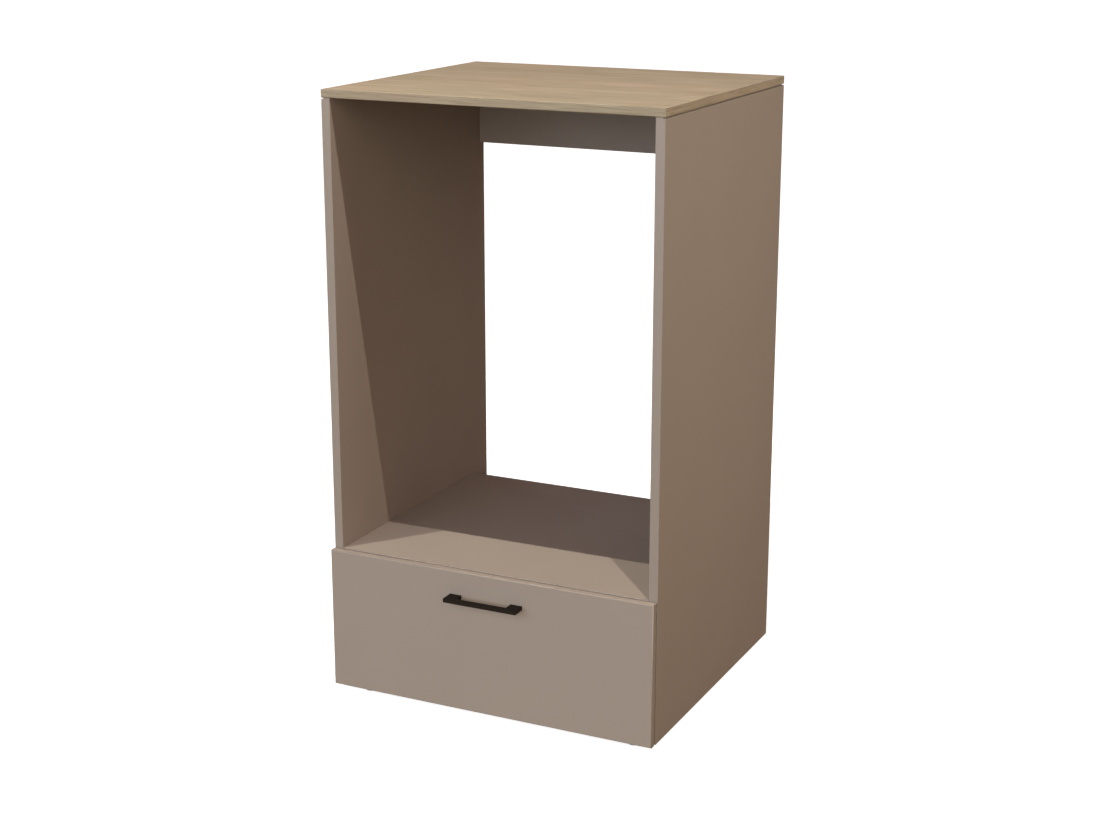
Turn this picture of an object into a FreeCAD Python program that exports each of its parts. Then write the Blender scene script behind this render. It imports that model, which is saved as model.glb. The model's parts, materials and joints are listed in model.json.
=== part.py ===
import FreeCAD, Part
import os
import re
import Sketcher

# Free-standing cabinet for a washing machine. Two side panels carry an oak-look worktop, a thick fixed
# shelf lifts the machine above one wide drawer on roller runners, and a rail ties the open back at the top.
# Millimetres, +Z up, the front faces -Y, and the origin is on the floor under the middle of the outline.

SIZES = {
    # Carcass
    "width": "680",
    "depth": "600",
    "height": "1184",
    "board": "18",
    "worktop_thickness": "16",
    "bay_height": "867",
    "shelf_thickness": "25",
    "hose_gap": "60",
    "rail_height": "150",
    "edge_radius": "1",
    # Feet, each a tapered glide
    "foot_height": "20",
    "foot_base_diameter": "28",
    "foot_top_diameter": "32",
    "foot_chamfer": "1.5",
    "foot_side_inset": "56",
    "foot_front_inset": "32",
    # Cams and bolts of the shelf, dowels of the other boards, and the play in their holes
    "cam_diameter": "15",
    "cam_overreach": "4.5",
    "cam_setback": "24",
    "cam_inset": "60",
    "cam_slot": "8.2",
    "driver_slot_length": "10",
    "driver_slot_width": "1.6",
    "driver_slot_depth": "1.6",
    "bolt_diameter": "5",
    "bolt_bite": "11",
    "bolt_head_diameter": "7.2",
    "bolt_head_length": "3",
    "bolt_bore_diameter": "8",
    "dowel_diameter": "8",
    "dowel_length": "30",
    "dowel_bite": "11",
    "hole_play": "0.2",
    "hole_end_gap": "0.5",
    "dowel_inset": "60",
    # Drawer
    "front_gap": "2",
    "front_thickness": "16",
    "front_side_reveal": "1",
    "front_top_reveal": "1",
    "front_edge_radius": "2",
    "drawer_board": "16",
    "drawer_rear_gap": "23",
    "drawer_top_gap": "44",
    "drawer_lift": "14",
    "drawer_bottom_thickness": "4",
    "drawer_back_inset": "8",
    "groove_depth": "6",
    "groove_rise": "12",
    "bumper_width": "10",
    "bumper_drop": "20",
    "bumper_clearance": "0.2",
    # Bar handle
    "handle_spacing": "128",
    "handle_post_width": "24",
    "handle_reach": "29",
    "handle_thickness": "8",
    "handle_bar_depth": "9",
    "handle_drop": "50",
    "handle_rounding": "0.8",
    # Roller runners
    "runner_space": "12.5",
    "runner_setback": "2",
    "runner_rear_gap": "20",
    "runner_height": "24",
    "runner_flange": "10.5",
    "runner_steel": "1.2",
    "drawer_runner_shortfall": "5",
    "drawer_runner_ledge": "14",
    "drawer_runner_lift": "0.6",
    "drawer_runner_wall_gap": "1",
    "open_roller_spacing": "100",
    "roller_diameter": "21",
    "roller_width": "7",
    "roller_gap": "0.3",
    "roller_front_inset": "13",
    "roller_rear_inset": "12",
    "roller_bay_margin": "2",
    "axle_diameter": "5",
    "axle_play": "0.1",
    "axle_end_gap": "0.7",
    "stop_tab_drop": "2",
}

# Places that several pieces share, as formulas over the sizes
INNER_FACE = "(width / 2 - board)"
FRONT_EDGE = "((front_gap + front_thickness + handle_reach - depth) / 2)"
SIDE_TOP = "(height - worktop_thickness)"
SIDE_HEIGHT = "(height - worktop_thickness - foot_height)"
SHELF_DEPTH = "(depth - hose_gap)"
SHELF_RISE = f"({SIDE_HEIGHT} - bay_height)"
SHELF_BASE = f"({SHELF_RISE} - shelf_thickness)"
LOWER_BACK_HEIGHT = f"({SHELF_BASE} - board)"
FRONT_HEIGHT = f"({SHELF_RISE} - front_top_reveal)"
DRAWER_OUTER = f"({INNER_FACE} - runner_space)"
DRAWER_INNER = f"({DRAWER_OUTER} - drawer_board)"
DRAWER_FRONT = f"({FRONT_EDGE} - front_gap)"
DRAWER_BASE = "(foot_height + board + drawer_lift)"
DRAWER_DEPTH = f"({SHELF_DEPTH} - board + front_gap - drawer_rear_gap)"
DRAWER_SIDE_HEIGHT = f"({SHELF_BASE} - board - drawer_lift - drawer_top_gap)"
DRAWER_GROOVE = "(drawer_bottom_thickness + hole_play)"
DRAWER_BACK_SET = f"({DRAWER_DEPTH} - drawer_back_inset - drawer_board - hole_play)"
RUNNER_FRONT = f"({FRONT_EDGE} + runner_setback)"
RUNNER_LENGTH = f"({SHELF_DEPTH} - board - runner_setback - runner_rear_gap)"
DRAWER_RUNNER_LENGTH = f"({RUNNER_LENGTH} - drawer_runner_shortfall)"
DRAWER_FLANGE = "(runner_height + drawer_runner_lift)"
CABINET_ROLLER_RISE = f"({DRAWER_FLANGE} - roller_gap - roller_diameter / 2)"
DRAWER_ROLLER_RISE = "(runner_steel + roller_gap + roller_diameter / 2)"
DRAWER_ROLLER_SET = f"({DRAWER_RUNNER_LENGTH} - roller_rear_inset)"
DRAWER_TRAVEL = f"({DRAWER_ROLLER_SET} - roller_front_inset - open_roller_spacing)"

# Holes for the fittings
BOLT_HOLE = ("(bolt_diameter + hole_play)", "(bolt_bite + hole_end_gap)")
BOLT_BORE = ("bolt_bore_diameter", "cam_setback")
DOWEL_FACE_HOLE = ("(dowel_diameter + hole_play)", "(dowel_bite + hole_end_gap)")
DOWEL_END_HOLE = ("(dowel_diameter + hole_play)", "(dowel_length - dowel_bite + hole_end_gap)")

CAM_HEIGHT = "(shelf_thickness / 2 + cam_overreach)"
CAM_HOLE = ("(cam_diameter + hole_play)", f"({CAM_HEIGHT} + hole_end_gap)")
CAM_LINE = f"({INNER_FACE} - cam_setback)"

# Fitting places on a side panel: distance behind its front edge, height above its lower edge
SHELF_MIDDLE = f"({SHELF_RISE} - shelf_thickness / 2)"
SHELF_CAMS = [("cam_inset", SHELF_MIDDLE), (f"({SHELF_DEPTH} - cam_inset)", SHELF_MIDDLE)]
BOTTOM_DOWELS = [("dowel_inset", "(board / 2)"), ("(depth - dowel_inset)", "(board / 2)")]
RAIL_DOWEL = ("(depth - board / 2)", f"({SIDE_HEIGHT} - rail_height / 2)")
SIDE_DOWELS = BOTTOM_DOWELS + [RAIL_DOWEL]
WORKTOP_DOWEL_SETS = ["dowel_inset", "(depth - dowel_inset)"]
WORKTOP_LINE = "(width / 2 - board / 2)"
FOOT_LINE = "(width / 2 - foot_side_inset)"
FOOT_SETS = ["foot_front_inset", "(depth - foot_front_inset)"]

# Directions that a fitting's own +Z axis is turned to
X_AXIS = FreeCAD.Vector(1, 0, 0)
Y_AXIS = FreeCAD.Vector(0, 1, 0)
Z_AXIS = FreeCAD.Vector(0, 0, 1)
UPRIGHT = FreeCAD.Rotation()
TO_LEFT = FreeCAD.Rotation(Y_AXIS, -90)
TO_RIGHT = FreeCAD.Rotation(Y_AXIS, 90)
DOWNWARD = FreeCAD.Rotation(X_AXIS, 180)

SMALL = 0.001
WORD = re.compile(r"[a-z_]+")

doc = FreeCAD.newDocument("WashingMachineCabinet")
nodes = []


def fill_sheet():
    sheet = doc.addObject("Spreadsheet::Sheet", "Sizes")
    for row, (alias, value) in enumerate(SIZES.items(), start=1):
        sheet.set(f"A{row}", alias)
        sheet.set(f"B{row}", value)
        sheet.setAlias(f"B{row}", alias)
    doc.recompute()


def bind(target, path, formula):
    """Tie a property to a formula in which size names stand for cells of the sheet."""
    linked = WORD.sub(lambda word: f"Sizes.{word[0]}" if word[0] in SIZES else word[0], formula)
    target.setExpression(path, linked)


def place(target, x, y, z, turn=UPRIGHT):
    target.Placement = FreeCAD.Placement(FreeCAD.Vector(), turn)
    for axis, formula in zip("xyz", (x, y, z)):
        bind(target, f"Placement.Base.{axis}", formula)


def node(target, name):
    target.Label = name
    nodes.append(target)


def origin_plane(body, role):
    return next(feature for feature in body.Origin.OriginFeatures if feature.Role == role)


def new_sketch(body, role, offset="0"):
    sketch = body.newObject("Sketcher::SketchObject", "Sketch")
    sketch.AttachmentSupport = (origin_plane(body, role), [""])
    sketch.MapMode = "FlatFace"
    bind(sketch, "AttachmentOffset.Base.z", offset)
    return sketch


def pin_point(sketch, geometry, point, x, y):
    """Fix one point of a sketch by its two distances from the sketch's origin."""
    for kind, axis, formula in (("DistanceX", -2, x), ("DistanceY", -1, y)):
        if formula == "0":
            sketch.addConstraint(Sketcher.Constraint("PointOnObject", geometry, point, axis))
        else:
            index = sketch.addConstraint(Sketcher.Constraint(kind, -1, 1, geometry, point, 1.0))
            bind(sketch, f"Constraints[{index}]", formula)


def draw_outline(sketch, corners):
    """A closed outline of straight lines through the corners."""
    count = len(corners)
    turn = FreeCAD.Rotation(Z_AXIS, 360 / count)
    starts = [X_AXIS]
    for _ in corners[1:]:
        starts.append(turn.multVec(starts[-1]))
    for i in range(count):
        sketch.addGeometry(Part.LineSegment(starts[i], starts[(i + 1) % count]))
    for i in range(count):
        sketch.addConstraint(Sketcher.Constraint("Coincident", i, 2, (i + 1) % count, 1))
    for i, (x, y) in enumerate(corners):
        pin_point(sketch, i, 1, x, y)


def draw_circle(sketch, x, y, diameter):
    circle = sketch.addGeometry(Part.Circle(X_AXIS, Z_AXIS, 1.0))
    pin_point(sketch, circle, 3, x, y)
    index = sketch.addConstraint(Sketcher.Constraint("Diameter", circle, 1.0))
    bind(sketch, f"Constraints[{index}]", diameter)


def rectangle(left, low, right, high):
    return [(left, low), (right, low), (right, high), (left, high)]


def pad(body, role, corners, length, reverse=False, offset="0"):
    sketch = new_sketch(body, role, offset)
    draw_outline(sketch, corners)
    feature = body.newObject("PartDesign::Pad", "Pad")
    feature.Profile = sketch
    feature.Reversed = reverse
    bind(feature, "Length", length)


def cut(body, sketch, length, along_normal):
    """Cut a sketch into the body, along the sketch plane's normal or against it; it has to take some away."""
    doc.recompute()
    before = body.Shape.Volume
    feature = body.newObject("PartDesign::Pocket", "Pocket")
    feature.Profile = sketch
    feature.Reversed = along_normal
    bind(feature, "Length", length)
    doc.recompute()
    if body.Shape.Volume > before - SMALL:
        raise RuntimeError(f"{body.Label}: a pocket cuts nothing")
    return feature


def pocket(body, role, corners, length, along_normal, offset="0"):
    sketch = new_sketch(body, role, offset)
    draw_outline(sketch, corners)
    return cut(body, sketch, length, along_normal)


def drill(body, role, hole, centres, along_normal, offset="0"):
    """Round holes of one kind, all from the same plane."""
    diameter, length = hole
    sketch = new_sketch(body, role, offset)
    for x, y in centres:
        draw_circle(sketch, x, y, diameter)
    return cut(body, sketch, length, along_normal)


def repeat_on_left(body, features):
    """The same cuts at the other end of a board that is centred across the cabinet."""
    mirror = body.newObject("PartDesign::Mirrored", "Mirrored")
    mirror.Originals = features
    mirror.MirrorPlane = (origin_plane(body, "YZ_Plane"), [""])
    body.Tip = mirror
    doc.recompute()


def round_edges(body, radius, wanted):
    doc.recompute()
    base = body.Tip
    whole = base.Shape.BoundBox
    names = [f"Edge{i}" for i, edge in enumerate(base.Shape.Edges, start=1) if wanted(edge.BoundBox, whole)]
    fillet = body.newObject("PartDesign::Fillet", "Fillet")
    fillet.Base = (base, names)
    bind(fillet, "Radius", radius)
    body.Tip = fillet


def on_front(edge, whole):
    return edge.YMax < whole.YMin + SMALL


def on_upright_front(edge, whole):
    return on_front(edge, whole) and edge.ZLength > edge.XLength


def on_top_front(edge, whole):
    return on_front(edge, whole) and on_top(edge, whole)


def on_top(edge, whole):
    return edge.ZMin > whole.ZMax - SMALL


def new_body(name):
    body = doc.addObject("PartDesign::Body", name)
    body.Label = name
    return body


def revolved(name, corners):
    """A turned piece: its half section, radius across and length up, spun about its own Z axis."""
    body = new_body(name)
    sketch = new_sketch(body, "XZ_Plane")
    draw_outline(sketch, corners)
    feature = body.newObject("PartDesign::Revolution", "Revolution")
    feature.Profile = sketch
    feature.ReferenceAxis = (sketch, ["V_Axis"])
    doc.recompute()
    return body


def mirrored(source, name):
    """The left-hand twin of a piece on the right."""
    twin = doc.addObject("Part::Mirroring", name)
    twin.Source = source
    twin.Base = FreeCAD.Vector()
    twin.Normal = X_AXIS
    return twin


def compound(pieces, name):
    group = doc.addObject("Part::Compound", name)
    group.Links = pieces
    return group


def copies(template, name, places):
    """Copies of one fitting on the right and their twins on the left, as one group of separate solids."""
    links = []
    for x, y, z, turn in places:
        link = doc.addObject("App::Link", f"{name}_copy")
        link.LinkedObject = template
        link.LinkTransform = False
        place(link, x, y, z, turn)
        links.append(link)
    right = compound(links, f"{name}_right")
    left = mirrored(right, f"{name}_left")
    return compound([right, left], name)


def both_sides(body, name):
    node(body, f"right_{name}")
    node(mirrored(body, f"left_{name}"), f"left_{name}")


def behind(setback):
    return f"({FRONT_EDGE} + {setback})"


def above(rise):
    return f"(foot_height + {rise})"


def side_panels():
    body = new_body("right_side_panel")
    pad(body, "YZ_Plane", rectangle("0", "0", "depth", SIDE_HEIGHT), "board")
    drill(body, "YZ_Plane", BOLT_HOLE, SHELF_CAMS, True)
    drill(body, "YZ_Plane", DOWEL_FACE_HOLE, SIDE_DOWELS, True)
    play = "hole_play / 2"
    housing = rectangle(f"({SHELF_DEPTH} - board - {play})", "board", f"({SHELF_DEPTH} + {play})", SHELF_BASE)
    pocket(body, "YZ_Plane", housing, "groove_depth", True)
    dowels = [("(board / 2)", setback) for setback in WORKTOP_DOWEL_SETS]
    drill(body, "XY_Plane", DOWEL_END_HOLE, dowels, False, SIDE_HEIGHT)
    round_edges(body, "edge_radius", on_upright_front)
    place(body, INNER_FACE, FRONT_EDGE, "foot_height")
    both_sides(body, "side_panel")


def worktop():
    body = new_body("worktop")
    pad(body, "XY_Plane", rectangle("-width / 2", "0", "width / 2", "depth"), "worktop_thickness")
    dowels = [(WORKTOP_LINE, setback) for setback in WORKTOP_DOWEL_SETS]
    repeat_on_left(body, [drill(body, "XY_Plane", DOWEL_FACE_HOLE, dowels, True)])
    round_edges(body, "edge_radius", on_top)
    place(body, "0", FRONT_EDGE, SIDE_TOP)
    node(body, "worktop")


def machine_shelf():
    """The shelf under the machine, held by cams let into its underside."""
    body = new_body("machine_shelf")
    pad(body, "XY_Plane", rectangle(f"-{INNER_FACE}", "0", INNER_FACE, SHELF_DEPTH), "shelf_thickness")
    centres = [(CAM_LINE, setback) for setback, _ in SHELF_CAMS]
    ends = [(setback, "(shelf_thickness / 2)") for setback, _ in SHELF_CAMS]
    fittings = [
        drill(body, "XY_Plane", CAM_HOLE, centres, True),
        drill(body, "YZ_Plane", BOLT_BORE, ends, False, INNER_FACE),
    ]
    repeat_on_left(body, fittings)
    round_edges(body, "edge_radius", on_top_front)
    place(body, "0", FRONT_EDGE, above(SHELF_BASE))
    node(body, "machine_shelf")


def bottom_panel():
    body = new_body("bottom_panel")
    pad(body, "XY_Plane", rectangle(f"-{INNER_FACE}", "0", INNER_FACE, "depth"), "board")
    repeat_on_left(body, [drill(body, "YZ_Plane", DOWEL_END_HOLE, BOTTOM_DOWELS, False, INNER_FACE)])
    place(body, "0", FRONT_EDGE, "foot_height")
    node(body, "bottom_panel")


def rear_top_rail():
    body = new_body("rear_top_rail")
    pad(body, "XZ_Plane", rectangle(f"-{INNER_FACE}", "0", INNER_FACE, "rail_height"), "board", reverse=True)
    dowel = [("(board / 2)", "(rail_height / 2)")]
    repeat_on_left(body, [drill(body, "YZ_Plane", DOWEL_END_HOLE, dowel, False, INNER_FACE)])
    place(body, "0", behind("(depth - board)"), f"({SIDE_TOP} - rail_height)")
    node(body, "rear_top_rail")


def plain_board(name, x, y, z, length, width, height):
    box = doc.addObject("Part::Box", name)
    bind(box, "Length", length)
    bind(box, "Width", width)
    bind(box, "Height", height)
    place(box, x, y, z)
    node(box, name)


def lower_back_panel():
    """The board that closes the drawer's space and props the shelf, housed in the side panels."""
    half = f"({INNER_FACE} + groove_depth - hole_play)"
    plain_board(
        "lower_back_panel",
        f"-{half}",
        behind(f"({SHELF_DEPTH} - board)"),
        above("board"),
        f"2 * {half}",
        "board",
        LOWER_BACK_HEIGHT,
    )


def feet():
    base = "foot_base_diameter / 2"
    foot = revolved("foot", [
        ("0", "0"),
        (f"({base} - foot_chamfer)", "0"),
        (base, "foot_chamfer"),
        ("foot_top_diameter / 2", "foot_height"),
        ("0", "foot_height"),
    ])
    places = [(FOOT_LINE, behind(setback), "0", UPRIGHT) for setback in FOOT_SETS]
    node(copies(foot, "feet", places), "feet")


def cam_disc():
    """A turned cam: a driver slot in its face and a pocket behind it that holds the bolt's head."""
    body = new_body("cam_disc")
    sketch = new_sketch(body, "XY_Plane")
    draw_circle(sketch, "0", "0", "cam_diameter")
    disc = body.newObject("PartDesign::Pad", "Pad")
    disc.Profile = sketch
    bind(disc, "Length", CAM_HEIGHT)
    half = "cam_slot / 2"
    head = rectangle(f"-{half}", f"-{half}", "cam_diameter", half)
    pocket(body, "XY_Plane", head, "(cam_slot / 2 + cam_overreach)", False, CAM_HEIGHT)
    long_half = "driver_slot_length / 2"
    short_half = "driver_slot_width / 2"
    driver = rectangle(f"-{long_half}", f"-{short_half}", long_half, short_half)
    pocket(body, "XY_Plane", driver, "driver_slot_depth", True)
    return body


def shelf_fittings():
    head_end = "(cam_setback + bolt_head_length / 2)"
    head_start = "(cam_setback - bolt_head_length / 2)"
    bolt = revolved("bolt", [
        ("0", "-bolt_bite"),
        ("bolt_diameter / 2", "-bolt_bite"),
        ("bolt_diameter / 2", head_start),
        ("bolt_head_diameter / 2", head_start),
        ("bolt_head_diameter / 2", head_end),
        ("0", head_end),
    ])
    bolts = [(INNER_FACE, behind(setback), above(rise), TO_LEFT) for setback, rise in SHELF_CAMS]
    node(copies(bolt, "shelf_cam_bolts", bolts), "shelf_cam_bolts")
    discs = [(CAM_LINE, behind(setback), above(SHELF_BASE), UPRIGHT) for setback, _ in SHELF_CAMS]
    node(copies(cam_disc(), "shelf_cam_discs", discs), "shelf_cam_discs")


def wooden_dowels():
    top = "(dowel_length - dowel_bite)"
    dowel = revolved("dowel", rectangle("0", "-dowel_bite", "dowel_diameter / 2", top))
    places = [(INNER_FACE, behind(setback), above(rise), TO_LEFT) for setback, rise in SIDE_DOWELS]
    places += [(WORKTOP_LINE, behind(setback), SIDE_TOP, DOWNWARD) for setback in WORKTOP_DOWEL_SETS]
    node(copies(dowel, "wooden_dowels", places), "wooden_dowels")


def drawer_front():
    """The front panel, with housings in its back for the drawer's sides and bottom."""
    body = new_body("drawer_front")
    half = "(width / 2 - front_side_reveal)"
    pad(body, "XZ_Plane", rectangle(f"-{half}", "0", half, FRONT_HEIGHT), "front_thickness")
    base_rise = "(board + drawer_lift)"
    groove_half = f"({DRAWER_INNER} + groove_depth)"
    groove_low = f"({base_rise} + groove_rise)"
    groove = rectangle(f"-{groove_half}", groove_low, groove_half, f"({groove_low} + {DRAWER_GROOVE})")
    pocket(body, "XZ_Plane", groove, "groove_depth", True)
    play = "hole_play / 2"
    housing = rectangle(
        f"({DRAWER_INNER} - {play})",
        f"({base_rise} - {play})",
        f"({DRAWER_OUTER} + {play})",
        f"({base_rise} + {DRAWER_SIDE_HEIGHT} + {play})",
    )
    repeat_on_left(body, [pocket(body, "XZ_Plane", housing, "groove_depth", True)])
    round_edges(body, "front_edge_radius", on_front)
    place(body, "0", DRAWER_FRONT, "foot_height")
    node(body, "drawer_front")


def drawer_sides():
    body = new_body("right_drawer_side")
    front = "-(groove_depth - hole_play)"
    pad(body, "YZ_Plane", rectangle(front, "0", DRAWER_DEPTH, DRAWER_SIDE_HEIGHT), "drawer_board")
    groove_top = f"(groove_rise + {DRAWER_GROOVE})"
    pocket(body, "YZ_Plane", rectangle(front, "groove_rise", DRAWER_DEPTH, groove_top), "groove_depth", True)
    housing_end = f"({DRAWER_BACK_SET} + drawer_board + hole_play)"
    housing = rectangle(DRAWER_BACK_SET, groove_top, housing_end, DRAWER_SIDE_HEIGHT)
    pocket(body, "YZ_Plane", housing, "groove_depth", True)
    place(body, DRAWER_INNER, DRAWER_FRONT, DRAWER_BASE)
    both_sides(body, "drawer_side")


def drawer_back_and_bottom():
    half = f"({DRAWER_INNER} + groove_depth - hole_play)"
    groove_top = f"(groove_rise + {DRAWER_GROOVE})"
    plain_board(
        "drawer_back",
        f"-{half}",
        f"({DRAWER_FRONT} + {DRAWER_BACK_SET} + hole_play / 2)",
        f"({DRAWER_BASE} + {groove_top})",
        f"2 * {half}",
        "drawer_board",
        f"({DRAWER_SIDE_HEIGHT} - {groove_top})",
    )
    plain_board(
        "drawer_bottom",
        f"-{half}",
        f"({DRAWER_FRONT} - groove_depth + hole_play)",
        f"({DRAWER_BASE} + groove_rise + hole_play / 2)",
        f"2 * {half}",
        f"({DRAWER_DEPTH} + groove_depth - hole_play)",
        "drawer_bottom_thickness",
    )


def handle():
    body = new_body("handle")
    half = "(handle_spacing / 2 + handle_post_width / 2)"
    inside = "(handle_spacing / 2 - handle_post_width / 2)"
    back_of_bar = "-(handle_reach - handle_bar_depth)"
    pad(body, "XY_Plane", [
        (f"-{half}", "0"),
        (f"-{half}", "-handle_reach"),
        (half, "-handle_reach"),
        (half, "0"),
        (inside, "0"),
        (inside, back_of_bar),
        (f"-{inside}", back_of_bar),
        (f"-{inside}", "0"),
    ], "handle_thickness")
    round_edges(body, "handle_rounding", on_front)
    middle = above(f"({FRONT_HEIGHT} - handle_drop)")
    face = f"({DRAWER_FRONT} - front_thickness)"
    place(body, "0", face, f"({middle} - handle_thickness / 2)")
    node(body, "handle")


def drawer_bumpers():
    """Soft pads on the back of the drawer front, against the side panels' edges."""
    bumper = doc.addObject("Part::Box", "bumper")
    bind(bumper, "Length", "bumper_width")
    bind(bumper, "Width", "(front_gap - bumper_clearance)")
    bind(bumper, "Height", "bumper_width")
    rise = above(f"({FRONT_HEIGHT} - bumper_drop)")
    places = [(f"({WORKTOP_LINE} - bumper_width / 2)", DRAWER_FRONT, rise, UPRIGHT)]
    node(copies(bumper, "drawer_bumpers", places), "drawer_bumpers")


def cabinet_runners():
    """A steel channel on the side panel, open towards the drawer, with its upper flange cut back at the front
    for the roller and a tab bent down that stops the drawer's own roller."""
    body = new_body("right_cabinet_runner")
    lip = "(runner_space - runner_flange)"
    web = "(runner_space - runner_steel)"
    ceiling = "(runner_height - runner_steel)"
    pad(body, "XZ_Plane", [
        (lip, "0"),
        ("runner_space", "0"),
        ("runner_space", "runner_height"),
        (lip, "runner_height"),
        (lip, ceiling),
        (web, ceiling),
        (web, "runner_steel"),
        (lip, "runner_steel"),
    ], RUNNER_LENGTH, reverse=True)
    bay = "(roller_front_inset + roller_diameter / 2 + roller_bay_margin)"
    pocket(body, "XY_Plane", rectangle("0", "0", web, bay), "runner_steel", False, "runner_height")
    tip = f"({ceiling} - stop_tab_drop)"
    reach = f"sqrt((roller_diameter / 2)^2 - ({tip} - {DRAWER_ROLLER_RISE})^2)"
    stop = f"({DRAWER_ROLLER_SET} - {DRAWER_TRAVEL} - {reach} - roller_gap)"
    pad(body, "XZ_Plane", rectangle(lip, tip, web, ceiling), "runner_steel", offset=f"-{stop}")
    place(body, DRAWER_OUTER, RUNNER_FRONT, DRAWER_BASE)
    both_sides(body, "cabinet_runner")


def drawer_runners():
    """A folded strip under and beside the drawer side; its upper flange rides on the cabinet's roller."""
    body = new_body("right_drawer_runner")
    flange_end = "(runner_space - drawer_runner_wall_gap)"
    flange_top = f"({DRAWER_FLANGE} + runner_steel)"
    pad(body, "XZ_Plane", [
        ("-drawer_runner_ledge", "-runner_steel"),
        ("runner_steel", "-runner_steel"),
        ("runner_steel", DRAWER_FLANGE),
        (flange_end, DRAWER_FLANGE),
        (flange_end, flange_top),
        ("0", flange_top),
        ("0", "0"),
        ("-drawer_runner_ledge", "0"),
    ], DRAWER_RUNNER_LENGTH, reverse=True)
    place(body, DRAWER_OUTER, RUNNER_FRONT, DRAWER_BASE)
    both_sides(body, "drawer_runner")


def rollers():
    half = "roller_width / 2"
    section = rectangle("(axle_diameter + axle_play) / 2", f"-{half}", "roller_diameter / 2", half)
    length = "(runner_space - 2 * runner_steel - axle_end_gap)"
    axle = revolved("axle", rectangle("0", "0", "axle_diameter / 2", length))
    line = f"({DRAWER_OUTER} + runner_space / 2)"
    cabinet_y = f"({RUNNER_FRONT} + roller_front_inset)"
    cabinet_z = f"({DRAWER_BASE} + {CABINET_ROLLER_RISE})"
    drawer_y = f"({RUNNER_FRONT} + {DRAWER_ROLLER_SET})"
    drawer_z = f"({DRAWER_BASE} + {DRAWER_ROLLER_RISE})"
    for owner, y, z in (("cabinet", cabinet_y, cabinet_z), ("drawer", drawer_y, drawer_z)):
        body = revolved(f"{owner}_roller", section)
        place(body, line, y, z, TO_RIGHT)
        both_sides(body, f"{owner}_roller")
    cabinet_web = f"({INNER_FACE} - runner_steel)"
    drawer_web = f"({DRAWER_OUTER} + runner_steel)"
    cabinet_axles = copies(axle, "cabinet_roller_axles", [(cabinet_web, cabinet_y, cabinet_z, TO_LEFT)])
    drawer_axles = copies(axle, "drawer_roller_axles", [(drawer_web, drawer_y, drawer_z, TO_RIGHT)])
    node(cabinet_axles, "cabinet_roller_axles")
    node(drawer_axles, "drawer_roller_axles")


def check_document():
    for item in doc.Objects:
        if "Invalid" in item.State or "Error" in item.State:
            raise RuntimeError(f"{item.Label} failed to build: {item.State}")
    for piece in nodes:
        if piece.Shape.isNull() or not piece.Shape.isValid() or not piece.Shape.Solids:
            raise RuntimeError(f"{piece.Label} has no valid solid")


def write_parts():
    os.makedirs("parts", exist_ok=True)
    for piece in nodes:
        piece.Shape.exportStep(os.path.join("parts", f"{piece.Label}.step"))
        print(piece.Label, len(piece.Shape.Solids), round(piece.Shape.Volume))


def main():
    fill_sheet()
    side_panels()
    worktop()
    machine_shelf()
    bottom_panel()
    rear_top_rail()
    lower_back_panel()
    feet()
    shelf_fittings()
    wooden_dowels()
    drawer_front()
    drawer_sides()
    drawer_back_and_bottom()
    handle()
    drawer_bumpers()
    cabinet_runners()
    drawer_runners()
    rollers()
    doc.recompute()
    check_document()
    write_parts()


main()
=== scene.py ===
import json
import math

import bmesh
import bpy
from bpy.props import FloatProperty, FloatVectorProperty, IntProperty, PointerProperty
from mathutils import Matrix, Vector


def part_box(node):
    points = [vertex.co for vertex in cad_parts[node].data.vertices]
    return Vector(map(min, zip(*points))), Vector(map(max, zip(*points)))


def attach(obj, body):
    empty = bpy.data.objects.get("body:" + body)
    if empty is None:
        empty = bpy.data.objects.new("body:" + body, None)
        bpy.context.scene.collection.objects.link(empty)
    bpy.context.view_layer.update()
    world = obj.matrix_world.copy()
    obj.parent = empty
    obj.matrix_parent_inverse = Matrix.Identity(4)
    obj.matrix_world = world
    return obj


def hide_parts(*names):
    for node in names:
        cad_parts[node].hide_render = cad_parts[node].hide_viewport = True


bl_info = {
    "name": "Washing Machine Cabinet",
    "version": (1, 0, 0),
    "blender": (4, 5, 0),
    "location": "View3D > Sidebar > Cabinet",
    "description": "Dresses the cabinet's frame with finished boards, fittings and a studio",
    "category": "Object",
}

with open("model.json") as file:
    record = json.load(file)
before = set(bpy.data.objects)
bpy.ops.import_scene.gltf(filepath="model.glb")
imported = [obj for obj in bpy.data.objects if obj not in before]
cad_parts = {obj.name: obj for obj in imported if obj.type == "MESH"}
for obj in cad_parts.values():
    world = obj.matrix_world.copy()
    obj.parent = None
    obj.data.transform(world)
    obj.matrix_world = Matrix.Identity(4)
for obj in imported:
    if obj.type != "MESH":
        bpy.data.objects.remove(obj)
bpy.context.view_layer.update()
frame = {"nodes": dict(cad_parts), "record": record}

MM = 0.001
WELD = 0.001 * MM  # points closer than this are one point
HAIR = 0.01 * MM  # points closer than this lie in one plane
SHARP = math.radians(50)  # the least turn between two faces that makes a sharp edge
X, Y, Z = range(3)
SIDES = (-1, 1)
LEFT_AND_RIGHT = ("left", "right")
BODY_OF_NODE = {
    node: body for body, members in frame["record"]["behaviour"]["bodies"].items() for node in members
}


def linear(hex_colour):
    """An sRGB hex colour as the linear RGBA that a shader takes."""
    parts = [int(hex_colour[i : i + 2], 16) / 255 for i in (1, 3, 5)]
    return [p / 12.92 if p <= 0.04045 else ((p + 0.055) / 1.055) ** 2.4 for p in parts] + [1.0]


WHITE = linear("#FFFFFF")


def colour_property(name, description, hex_colour):
    """A colour setting, given in sRGB."""
    return FloatVectorProperty(
        name=name, description=description, subtype="COLOR", size=4, min=0, max=1, default=linear(hex_colour)
    )


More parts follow.
